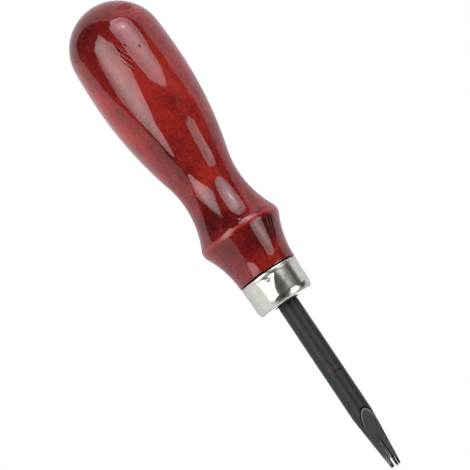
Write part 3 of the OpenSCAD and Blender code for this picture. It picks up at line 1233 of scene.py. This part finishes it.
@dataclass
class Blade:
    """Round blade with its tang, ground flat, groove and two tines.

    Over the run-in to the flat, the mesh's upper corner closes in from the shank's angle to the start's.
    """

    tang_end_x: float
    tip_x: float
    shank_r: float = 2.78 * MM
    shoulder_x: float = -0.7 * MM
    tang_r: float = 2.4 * MM
    tang_chamfer: float = 0.8 * MM
    turn: float = math.radians(-21)
    taper_length: float = 15.8 * MM
    tip_r: float = 1.4 * MM
    tip_round: float = 0.5 * MM
    flat_from_tip: float = 16.7 * MM
    flat_slope: float = math.radians(18.3)
    fork_top: float = 0.5 * MM
    fork_slope: float = math.radians(3.5)
    fork_gap: float = 0.95 * MM
    fork_depth: float = 2.8 * MM
    groove_length: float = 6.8 * MM
    web: float = 0.05 * MM
    run_in: float = 3 * MM
    shank_angle: float = 0.53
    start_angle: float = 0.03
    land_share: float = 0.4
    wall_share: float = 0.85
    crease: float = math.radians(16)
    side_steps: int = 30
    under_steps: int = 10
    land_steps: int = 5
    wall_steps: int = 8

    @classmethod
    def from_frame(cls) -> "Blade":
        """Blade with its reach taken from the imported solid."""
        low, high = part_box(Node.BLADE.value)
        return cls(tang_end_x=low.x, tip_x=high.x)

    @property
    def flat_x(self) -> float:
        """Place where the flat begins."""
        return self.tip_x - self.flat_from_tip

    @property
    def taper_x(self) -> float:
        """Place where the taper begins."""
        return self.tip_x - self.taper_length

    @property
    def root_x(self) -> float:
        """Place where the gap between the tines begins."""
        return self.tip_x - self.fork_depth

    @property
    def flat_end_x(self) -> float:
        """Place where the flat runs out into the fork's upper face."""
        return self.flat_x + (self.shank_r - self.fork_top) / math.tan(self.flat_slope)

    @property
    def groove_fall(self) -> float:
        """Fall of the groove's floor for each metre, which leaves a thin web at the fork's root."""
        return (self.fork_top + self.radius(self.root_x) - self.web) / self.groove_length

    @property
    def groove_x(self) -> float:
        """Place where the groove's floor leaves the fork's upper face."""
        start, fall = self.root_x - self.groove_length, math.tan(self.fork_slope)
        return (start * self.groove_fall - self.flat_end_x * fall) / (self.groove_fall - fall)

    def radius(self, x: float) -> float:
        """Outside radius at a place along the axis.

        Args:
            x: The place.

        Returns:
            The radius.
        """
        if x < self.shoulder_x:
            return self.tang_r - max(0.0, self.tang_end_x + self.tang_chamfer - x)
        share = (x - self.tip_x + self.taper_length) / self.taper_length
        radius = self.shank_r + (self.tip_r - self.shank_r) * max(0.0, share)
        into_round = x - self.tip_x + self.tip_round
        if into_round > 0:
            radius -= self.tip_round - math.sqrt(max(0.0, self.tip_round ** 2 - into_round ** 2))
        return radius

    def top(self, x: float) -> float:
        """Height of the ground upper face over the axis."""
        fork = self.fork_top - (x - self.flat_end_x) * math.tan(self.fork_slope)
        return max(fork, self.shank_r - (x - self.flat_x) * math.tan(self.flat_slope))

    def depth(self, x: float) -> float:
        """Depth of the groove under the fork's upper face."""
        return max(0.0, x - self.groove_x) * (self.groove_fall - math.tan(self.fork_slope))

    def places(self) -> list[float]:
        """Places of the sections along the axis, crowded where the shape changes.

        Returns:
            The places in order.
        """
        tang = [self.tang_end_x, self.tang_end_x + self.tang_chamfer]
        tang += list(np.linspace(tang[-1], self.shoulder_x - 0.01 * MM, 9))[1:]
        shank = list(np.linspace(self.shoulder_x, self.flat_x - self.run_in, 14))
        run_in = list(np.linspace(self.flat_x - self.run_in, self.flat_x, 8))[1:]
        spread = np.linspace(0.03, 1.0, 40) ** 2
        flat = list(self.flat_x + spread * (self.groove_x - 0.2 * MM - self.flat_x))
        groove = list(self.groove_x + np.linspace(0.02, 1.0, 28) ** 1.6 * (self.root_x - self.groove_x))
        tines = list(np.linspace(self.root_x, self.tip_x - self.tip_round, 10))[1:]
        ends = list(self.tip_x - self.tip_round * (1 - np.sin(np.linspace(0, math.pi / 2, 8))))[1:]
        return tang + shank + run_in + flat + groove + tines + ends

    def section(self, x: float) -> tuple[np.ndarray, np.ndarray, np.ndarray, np.ndarray]:
        """Stretches of the outline at one place, each as sideways and upward distances from the axis.

        Args:
            x: Place along the axis.

        Returns:
            One side with its corner, half of the underside, one land and half of the groove, all for the
            +Y side.
        """
        radius, half_gap = self.radius(x), self.fork_gap / 2
        cut = x > self.flat_x and self.top(x) < radius
        ease = min(1.0, max(0.0, (self.flat_x - x) / self.run_in))
        closed = self.start_angle + (self.shank_angle - self.start_angle) * ease
        corner = math.acos(self.top(x) / radius) if cut else closed
        under = math.pi - math.asin(min(0.6, half_gap / radius))
        side_angles = np.linspace(under, corner, self.side_steps + 1)
        side = radius * np.stack([np.sin(side_angles), np.cos(side_angles)], axis=-1)
        under_angles = np.linspace(math.pi, under, self.under_steps // 2 + 1)
        below = radius * np.stack([np.sin(under_angles), np.cos(under_angles)], axis=-1)
        wide, high = side[-1]
        depth = self.depth(x)
        if depth > 0:
            lip = half_gap if depth >= half_gap else math.sqrt(2 * half_gap * depth - depth ** 2)
        else:
            lip = self.land_share * wide
        land_y = np.linspace(wide, lip, self.land_steps + 1)
        land_z = np.full_like(land_y, high) if cut else np.sqrt(radius ** 2 - land_y ** 2)
        land = np.stack([land_y, land_z], axis=-1)
        return side, below, land, self.trough(lip, depth, high, radius, cut)

    def trough(self, lip: float, depth: float, high: float, radius: float, cut: bool) -> np.ndarray:
        """Half of the groove's outline, from its lip to the middle of its floor.

        Args:
            lip: Half width at the upper face.
            depth: Depth under the upper face.
            high: Height of the upper face.
            radius: Outside radius.
            cut: Whether the upper face is ground at this place.

        Returns:
            Sideways and upward distances.
        """
        floor_steps = self.under_steps // 2
        if depth <= 0:
            across = np.linspace(lip, 0.0, self.wall_steps + floor_steps + 1)
            up = np.full_like(across, high) if cut else np.sqrt(radius ** 2 - across ** 2)
            return np.stack([across, up], axis=-1)
        half_gap = self.fork_gap / 2
        wall = max(0.0, depth - half_gap)
        bend = math.pi / 2 if wall > 0 else math.acos((half_gap - depth) / half_gap)
        length = wall + half_gap * bend
        even = length * self.wall_steps / (self.wall_steps + floor_steps)
        deep = min(1.0, wall / (1.2 * half_gap))
        knee = even + (wall - even) * deep
        down = np.linspace(0, knee, self.wall_steps + 1)
        run = np.concatenate([down, np.linspace(knee, length, floor_steps + 1)[1:]])
        angle = np.clip((length - run) / half_gap, 0, bend)
        across = half_gap * np.sin(angle)
        up = high - depth + half_gap * (1 - np.cos(angle)) + np.maximum(0.0, wall - run)
        return np.stack([across, up], axis=-1)

    def body(self, hull: Hull) -> list[int]:
        """Sweep the sections from the tang to the fork's root.

        Args:
            hull: Mesh that grows.

        Returns:
            Corner numbers of the last section, from the middle of its underside round by the +Y side.
        """
        last: list[int] = []
        for x in [x for x in self.places() if x <= self.root_x + SAME]:
            side, below, land, groove = self.section(x)
            half = np.concatenate([below, side[1:], land[1:], groove[1:]])
            other = half[1:-1][::-1] * MIRROR
            now = hull.ring(x, np.concatenate([half, other]), self.turn)
            if last:
                hull.skin(last, now)
            else:
                hull.faces.append(tuple(now))
            last = now
        return last

    def tine(self, hull: Hull, start: list[int], flip: np.ndarray) -> None:
        """Sweep one tine from the fork's root to the tip.

        Args:
            hull: Mesh that grows.
            start: Corner numbers at the root.
            flip: Factors that put the +Y side's outline on the tine's own side.
        """
        near = start
        for x in [x for x in self.places() if x > self.root_x + SAME]:
            side, _, land, _ = self.section(x)
            low, high = side[0][1], land[-1][1]
            share = np.linspace(0, 1, self.wall_steps + 1)[1:] * self.wall_share
            wall = np.stack([np.full_like(share, self.fork_gap / 2), high + (low - high) * share], axis=-1)
            far = hull.ring(x, np.concatenate([side, land[1:], wall]) * flip, self.turn)
            hull.skin(near, far)
            near = far
        hull.faces.append(tuple(near))

    def build(self) -> bpy.types.Object:
        """Sweep the sections along the axis, first as one body and then as two tines.

        Returns:
            The new object.
        """
        hull = Hull()
        last = self.body(hull)
        under = self.under_steps // 2
        middle = len(last) // 2
        wall_end = middle - under
        right = last[:middle + 1]
        left = [last[-i] for i in range(middle + 1)]
        for half in (right, left):
            floor, below = half[wall_end:], half[under::-1]
            for i in range(under):
                hull.faces.append((floor[i], floor[i + 1], below[i + 1], below[i]))
        self.tine(hull, right[under:wall_end + 1], np.array([1.0, 1.0]))
        self.tine(hull, left[under:wall_end + 1], MIRROR)
        return mesh_object("blade_forked", np.array(hull.points), hull.faces, self.crease)

    def dress(self, effects: Effects) -> None:
        """Build the blade and give it its oxide."""
        place(self.build(), Node.BLADE, BlackSteel(self).material(effects))


# Studio


SHADE_TINT: Colour = (0.97, 0.985, 1.03)


def staged(name: str, places: Sequence[Place], material: bpy.types.Material, seen: bool) -> None:
    """Put one flat sheet into the studio.

    Args:
        name: Name of the sheet.
        places: Its corners in order.
        material: Its material.
        seen: Whether the camera sees it, or only the reflections do.
    """
    mesh = bpy.data.meshes.new(name)
    mesh.from_pydata(list(places), [], [tuple(range(len(places)))])
    mesh.materials.append(material)
    sheet = bpy.data.objects.new(name, mesh)
    sheet.visible_camera = seen
    bpy.context.scene.collection.objects.link(sheet)


@dataclass(frozen=True)
class LightPanel:
    """A soft lamp over the tool, brightest at its core, which shows only in reflections.

    Its corners and its core are slopes along and across the tool, counted from the point under its middle.
    """

    name: str
    corners: tuple[Point, ...]
    core: Point
    glow: float
    rim_glow: float
    reach: float
    tint: Colour = (1.0, 1.0, 1.0)
    height: float = 1.0
    middle_x: float = -50.0 * MM

    def spot(self, slope: Point) -> Place:
        """Place of a point given as its slopes."""
        return (self.middle_x + slope[0] * self.height, -slope[1] * self.height, self.height)

    def build(self) -> None:
        """Hang the panel."""
        surface = Surface(self.name)
        away = surface.vector("DISTANCE", surface.spot, self.spot(self.core)).outputs["Value"]
        glow = surface.span(away, 0.0, self.reach * self.height, self.glow, self.rim_glow)
        light = surface.add("ShaderNodeEmission", {"Color": (*self.tint, 1.0), "Strength": glow})
        staged(self.name, [self.spot(corner) for corner in self.corners], surface.close(light), False)


class Facing(Enum):
    """Ways a card faces, each with the number of the axis that it faces along."""

    ALONG = 0
    ASIDE = 1
    UP = 2


@dataclass(frozen=True)
class Card:
    """A standing or lying sheet near the tool, which shows only in reflections.

    Its outline has the two places that its facing leaves, in the order of the axes. Heights are counted
    from the floor.
    """

    name: str
    facing: Facing
    at: float
    outline: tuple[Point, ...]
    glow: float
    fill: float = 2.0

    def corner(self, spot: Point, level: float) -> Place:
        """Place of one point of the outline over a floor at the given level."""
        x, y, z = np.insert(np.array(spot, dtype=float), self.facing.value, self.at).tolist()
        return (x, y, level + z)

    def build(self, level: float) -> None:
        """Put the card on the floor.

        Args:
            level: Height of the floor.
        """
        surface = Surface(self.name)
        diffuse = surface.add("ShaderNodeLightPath").outputs["Is Diffuse Ray"]
        strength = surface.span(diffuse, 0.0, 1.0, self.glow, self.fill)
        light = surface.add("ShaderNodeEmission", {"Color": (*SHADE_TINT, 1.0), "Strength": strength})
        staged(self.name, [self.corner(spot, level) for spot in self.outline], surface.close(light), False)


@dataclass(frozen=True)
class Studio:
    """Pale floor, soft panels, low cards and a dim room."""

    floor_drop: float = 0.2 * MM
    floor_half: float = 6.0
    floor_glow: float = 0.37
    floor_white: float = 0.37
    fill: float = 2.0
    room: float = 0.10
    panels: tuple[LightPanel, ...] = (
        LightPanel(
            "left_panel",
            ((0.35, 0.87), (0.28, 1.00), (0.10, 1.20), (-0.02, 1.52), (-0.31, 1.83), (-0.46, 1.66),
             (-0.52, 1.45), (-0.60, 1.10), (-0.78, 0.77), (-0.885, 0.655), (-1.04, 0.40), (-0.77, 0.305),
             (-0.57, 0.235), (-0.42, 0.18), (-0.36, 0.07), (-0.32, 0.05), (-0.24, -0.02), (-0.20, 0.05),
             (-0.11, 0.18), (-0.02, 0.29), (0.09, 0.46), (0.22, 0.58), (0.34, 0.70)),
            core=(-0.24, 0.66), glow=5.9, rim_glow=2.0, reach=0.75),
        LightPanel(
            "top_panel",
            ((-0.89, -0.19), (-0.75, -0.18), (-0.60, -0.19), (-0.40, -0.21), (-0.29, -0.26), (-0.20, -0.35),
             (-0.14, -0.42), (-0.10, -0.56), (-0.08, -0.80), (-0.09, -1.00), (-0.14, -1.23), (-0.21, -1.49),
             (-0.35, -1.75), (-0.50, -2.00), (-0.68, -2.28), (-0.88, -2.48), (-1.15, -2.58), (-1.60, -2.70),
             (-2.05, -2.50), (-2.28, -2.20), (-2.09, -1.60), (-1.81, -1.22), (-1.62, -0.95), (-1.51, -0.73),
             (-1.42, -0.55), (-1.32, -0.47), (-1.20, -0.42), (-1.07, -0.34), (-0.97, -0.26)),
            core=(-0.78, -0.93), glow=7.2, rim_glow=2.6, reach=0.72, tint=(0.98, 0.985, 1.05)),
        LightPanel(
            "right_panel",
            ((0.22, -0.76), (0.40, -0.76), (0.60, -0.72), (1.23, -0.79), (2.20, -0.90), (5.00, -5.40),
             (2.80, -4.40), (2.00, -3.95), (1.00, -3.20), (0.78, -2.55), (0.42, -2.16), (0.30, -2.05),
             (0.20, -1.30)),
            core=(1.25, -1.75), glow=5.4, rim_glow=2.2, reach=0.95),
        LightPanel(
            "lamp",
            ((-0.57, -0.83), (-0.66, -0.80), (-0.76, -0.83), (-0.82, -0.90), (-0.80, -0.95), (-0.68, -0.93),
             (-0.60, -0.90)),
            core=(-0.66, -0.87), glow=14.0, rim_glow=10.0, reach=0.15, height=0.98),
        LightPanel(
            "gap_panel",
            ((-0.40, -1.08), (0.15, -1.08), (0.15, -3.20), (-0.50, -3.20)),
            core=(-0.14, -1.50), glow=0.27, rim_glow=0.21, reach=1.6, height=1.05),
        LightPanel(
            "butt_panel",
            ((-0.84, -0.30), (-1.01, -0.355), (-1.20, -0.415), (-1.44, -0.53), (-1.63, -0.66),
             (-1.63, -0.80), (-1.74, -1.00), (-1.85, -1.23), (-2.00, -1.52), (-2.28, -1.92), (-1.97, -1.76),
             (-1.63, -1.39), (-1.44, -1.12), (-1.29, -0.91), (-1.17, -0.74), (-1.02, -0.58)),
            core=(-1.2, -0.8), glow=4.6, rim_glow=3.4, reach=1.0, height=0.11, middle_x=-88.0 * MM),
        LightPanel(
            "neck_panel",
            ((0.015, 0.615), (-0.013, 0.50), (-0.038, 0.397), (-0.082, 0.335), (-0.123, 0.305),
             (-0.157, 0.34), (-0.19, 0.373), (-0.193, 0.688), (-0.177, 1.023), (-0.037, 0.99),
             (0.003, 0.803)),
            core=(-0.1, 0.6), glow=3.3, rim_glow=3.0, reach=1.0, height=0.06, middle_x=0.0),
    )
    cards: tuple[Card, ...] = (
        Card("front_card", Facing.ASIDE, -105 * MM, mm_points(
            (-100, 0), (-92, 2), (-80, 17), (-69, 32), (-58, 51), (-44, 71), (-25, 100), (-1, 111),
            (6, 121), (30, 141), (82, 162), (181, 171), (190, 0)), glow=1.03),
        Card("near_card", Facing.ASIDE, -18 * MM, mm_points(
            (-86, 0), (-81.5, 20.5), (-73, 23), (-61, 28.5), (-51, 32.9), (-44.4, 34.6),
            (-44, 0)), glow=1.03),
        Card("back_card", Facing.ASIDE, 300 * MM, mm_points(
            (-60, 0), (-98, 53), (-128, 58), (-155, 67), (-215, 95), (-335, 101), (-520, 186), (-600, 252),
            (-600, 0)), glow=0.95),
        Card("butt_card", Facing.ALONG, -600 * MM, mm_points(
            (300, 0), (300, 252), (183, 333), (109, 272), (31, 205), (-33, 144), (-90, 93), (-144, 48),
            (-190, 0)), glow=0.9),
        Card("butt_shade", Facing.UP, 0.1 * MM, mm_points(
            (-98, 17), (-112, 23), (-150, 42), (-240, 85), (-300, 110), (-280, 160), (-200, 105),
            (-142, 66), (-108, 34)), glow=0.45, fill=1.0),
        Card("tip_card", Facing.ALONG, 400 * MM, mm_points(
            (-300, 0), (300, 0), (300, 90), (-300, 90)), glow=1.9, fill=0.5),
        Card("end_card", Facing.UP, 0.15 * MM, mm_points(
            (0.3, -9), (8, -9), (8, 9), (0.3, 9)), glow=3.0, fill=0.9),
        Card("dark_side", Facing.UP, 0.1 * MM, mm_points(
            (0, -107), (-118, -100), (-127, -72), (-127, -53), (-148, -53), (-178, -61), (-222, -70),
            (-433, -132), (-900, -290), (-900, -900), (0, -900)), glow=0.08, fill=0.08),
        Card("dark_corner", Facing.UP, 0.1 * MM, mm_points(
            (-4, 43), (26, 40), (600, 40), (600, 900), (-60, 900), (-60, 190),
            (14, 180)), glow=0.08, fill=0.08),
    )

    def floor(self, level: float) -> None:
        """Lay the floor, which is white to the camera and shaded in reflections.

        Args:
            level: Height of the floor.
        """
        surface = Surface("floor_white")
        path = surface.add("ShaderNodeLightPath").outputs
        strength = surface.span(path["Is Diffuse Ray"], 0.0, 1.0, self.floor_glow, self.fill)
        glow = surface.add("ShaderNodeEmission", {"Color": (*SHADE_TINT, 1.0), "Strength": strength})
        matt = surface.add("ShaderNodeBsdfDiffuse", {"Color": (*dimmed(SHADE_TINT, self.floor_white), 1.0)})
        shaded = surface.add("ShaderNodeAddShader", {0: glow.outputs[0], 1: matt.outputs[0]})
        white = surface.add("ShaderNodeEmission", {"Strength": 1.0})
        sides = {0: path["Is Camera Ray"], 1: shaded.outputs[0], 2: white.outputs[0]}
        material = surface.close(surface.add("ShaderNodeMixShader", sides))
        far = self.floor_half
        corners = ((-far, -far), (far, -far), (far, far), (-far, far))
        staged("floor", [(*corner, level) for corner in corners], material, True)

    def world(self) -> None:
        """Make a dim room with a white backdrop."""
        world = bpy.data.worlds.new("room")
        world.use_nodes = True
        world.node_tree.nodes.clear()
        wiring = Wiring(world.node_tree)
        dim = wiring.add("ShaderNodeBackground", {"Color": (1, 1, 1, 1), "Strength": self.room})
        white = wiring.add("ShaderNodeBackground", {"Color": (1, 1, 1, 1), "Strength": 1.0})
        ray = wiring.add("ShaderNodeLightPath").outputs["Is Camera Ray"]
        seen = wiring.add("ShaderNodeMixShader", {0: ray, 1: dim.outputs[0], 2: white.outputs[0]})
        wiring.add("ShaderNodeOutputWorld", {"Surface": seen.outputs[0]})
        bpy.context.scene.world = world

    def build(self) -> None:
        """Set up the floor, the room, the panels and the cards."""
        level = CAD_BOX[0][2] - self.floor_drop
        self.floor(level)
        self.world()
        for panel in self.panels:
            panel.build()
        for card in self.cards:
            card.build(level)
        bpy.context.scene.view_settings.view_transform = "Standard"


@dataclass(frozen=True)
class PhotoCamera:
    """Camera almost straight above the tool, with the tip to the lower right."""

    aim_x: float = -21.6 * MM
    tilt: float = math.radians(7)
    distance: float = 600 * MM
    lens: float = 181.75
    sensor: float = 36.0
    near_clip: float = 10 * MM
    axis_right: float = 0.55601
    axis_down: float = 0.83117
    pixel: float = 0.2528 * MM
    aim_right_px: float = 5.47
    aim_up_px: float = 2.78

    def build(self) -> None:
        """Place the camera and make it the scene's own."""
        back = Vector((math.sin(self.tilt), 0, math.cos(self.tilt)))
        along = Vector((math.cos(self.tilt), 0, -math.sin(self.tilt)))
        side = Vector((0, 1, 0))
        right = self.axis_right * along + self.axis_down * side
        up = self.axis_right * side - self.axis_down * along
        aim = Vector((self.aim_x, 0, 0)) - self.pixel * (self.aim_right_px * right + self.aim_up_px * up)
        data = bpy.data.cameras.new("camera")
        data.lens = self.lens
        data.sensor_width = self.sensor
        data.sensor_fit = "HORIZONTAL"
        data.clip_start = self.near_clip
        camera = bpy.data.objects.new("camera", data)
        turn = Matrix((right, up, back)).transposed().to_4x4()
        camera.matrix_world = Matrix.Translation(aim + self.distance * back) @ turn
        bpy.context.scene.collection.objects.link(camera)
        bpy.context.scene.camera = camera


def main() -> None:
    """Build the studio and the dressed tool."""
    logging.basicConfig(level=logging.INFO, format="%(name)s: %(message)s")
    PhotoCamera().build()
    Studio().build()
    effects = Effects()
    Handle.from_frame().dress(effects)
    Ferrule.from_frame().dress(effects)
    Blade.from_frame().dress(effects)


if __name__ == "__main__":
    main()
